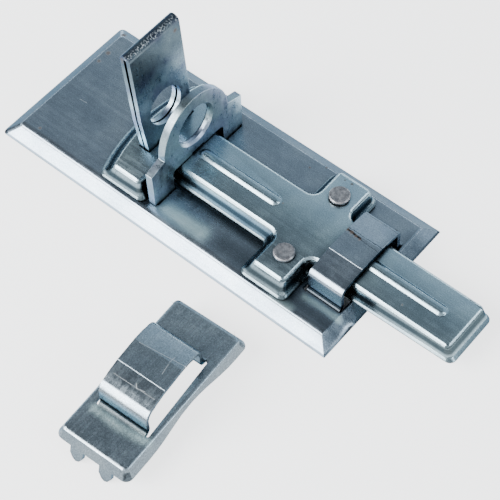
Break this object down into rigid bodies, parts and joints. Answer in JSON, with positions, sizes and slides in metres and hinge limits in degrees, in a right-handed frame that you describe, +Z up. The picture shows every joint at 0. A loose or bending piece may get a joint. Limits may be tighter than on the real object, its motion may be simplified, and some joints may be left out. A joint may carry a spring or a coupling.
{
  "type": "padlock bolt",
  "caption": "Pressed steel padlock bolt: a sliding bolt with a folded tongue, a fixed padlock eye and a guide strap on a bevelled plate, with a loose pronged keeper.",
  "frame": {"origin": "on the ground under the middle of the whole set, keeper included", "axes": "+X is the way the bolt is thrown, +Z up from the door face, +Y away from the keeper"},
  "size_m": [0.1484, 0.1144, 0.0478],
  "materials": {
    "base_zinc": "glossy blue zinc plating",
    "bolt_zinc": "glossy blue zinc plating",
    "lug_zinc": "zinc plating with sheared edges",
    "rivet_steel": "matt plated"
  },
  "bodies": {
    "base": {"base_plate": "base_zinc", "padlock_eye": "lug_zinc", "keeper": "base_zinc"},
    "slider": {"bolt": "bolt_zinc", "padlock_tongue": "lug_zinc", "rivet_near": "rivet_steel", "rivet_far": "rivet_steel", "stiffener": "lug_zinc"}
  },
  "joints": [
    {"name": "bolt_slide", "type": "slide", "parent": "base", "child": "slider", "axis": [-1, 0, 0], "range_m": [0, 0.031]}
  ]
}
